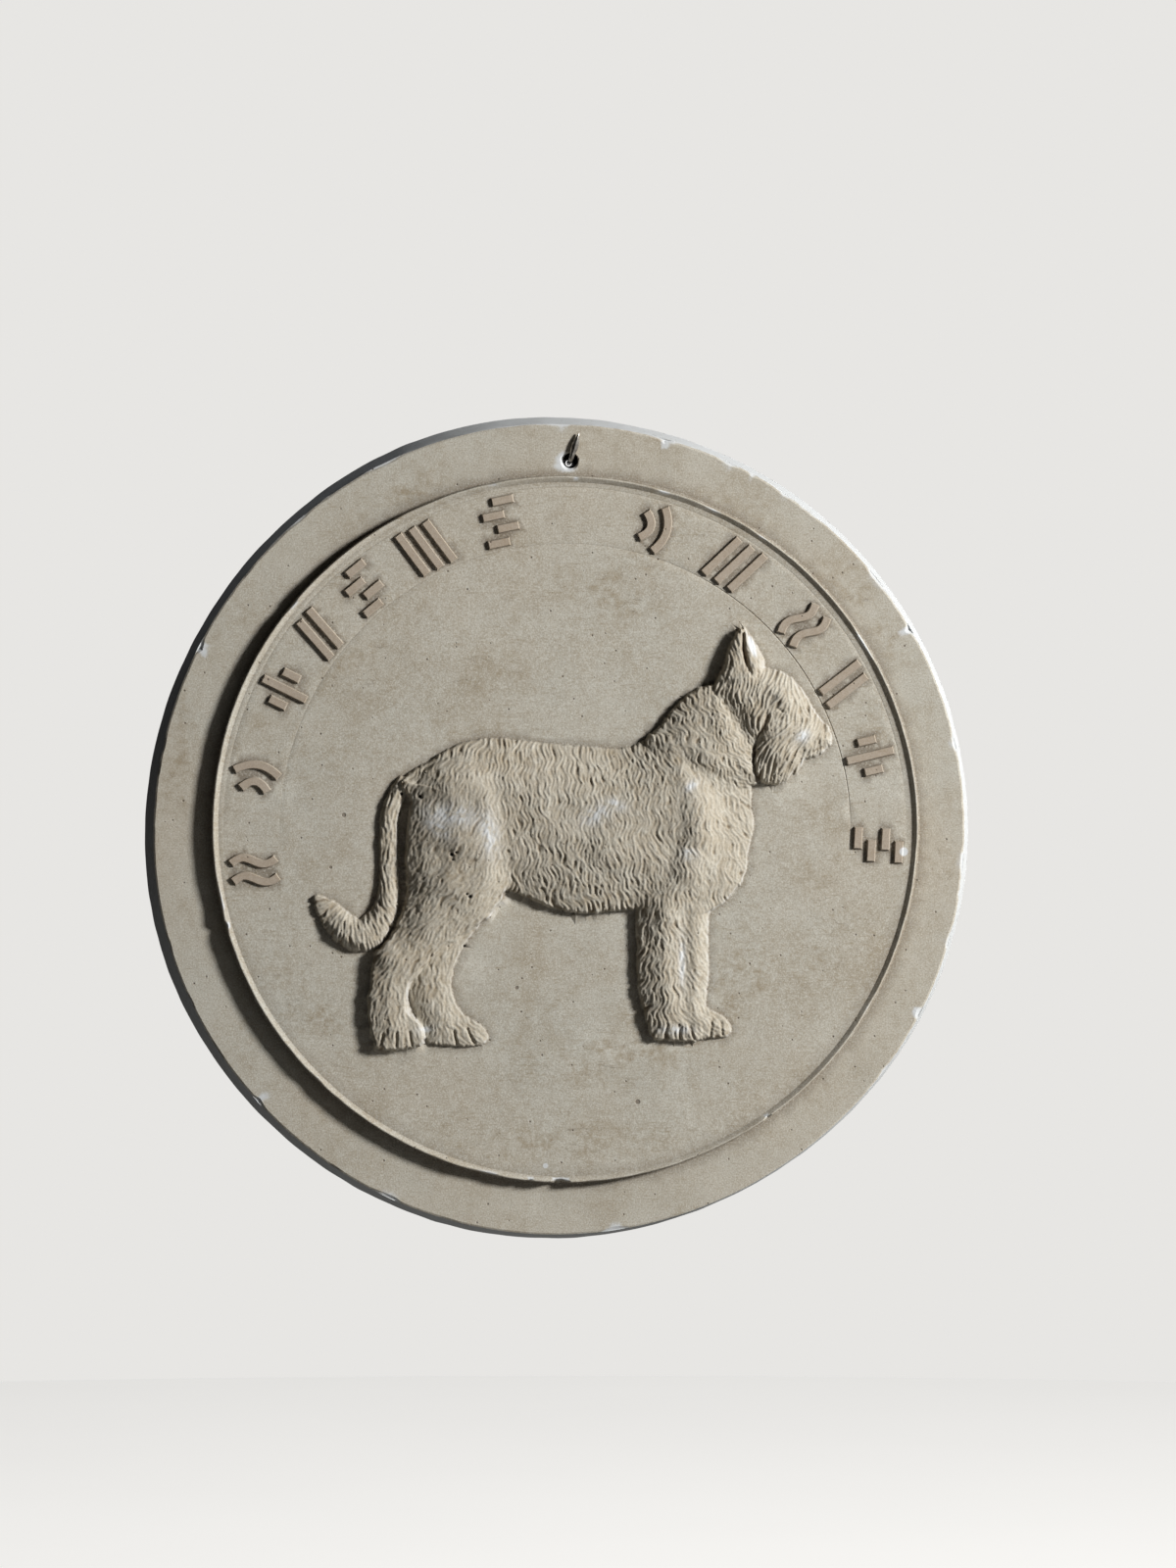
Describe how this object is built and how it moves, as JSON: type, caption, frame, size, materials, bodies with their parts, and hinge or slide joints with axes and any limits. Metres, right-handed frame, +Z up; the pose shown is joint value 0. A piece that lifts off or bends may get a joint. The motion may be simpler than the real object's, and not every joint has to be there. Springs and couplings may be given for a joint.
{
  "type": "plaster wall plaque with a standing terrier in relief",
  "caption": "Round cast plaster wall plaque: a rough-coated terrier in low relief below an arc of plain raised strokes, with a bent steel nail in its hanging hole.",
  "frame": {"origin": "axis of the hanging hole where it meets the flat back", "axes": "+Y points out of the flat back towards the wall, so the relief faces -Y; +Z is up as hung; +X is to the right for someone who looks at the relief"},
  "size_m": [0.3181, 0.0349, 0.317],
  "materials": {
    "aged_plaster": "dry matt plaster with a brown patina in its hollows and pale worn high spots",
    "worn_steel": "dull bright steel, darkened in places"
  },
  "bodies": {
    "root": {"plaster_plaque": "aged_plaster", "hanging_nail": "worn_steel"}
  },
  "joints": []
}
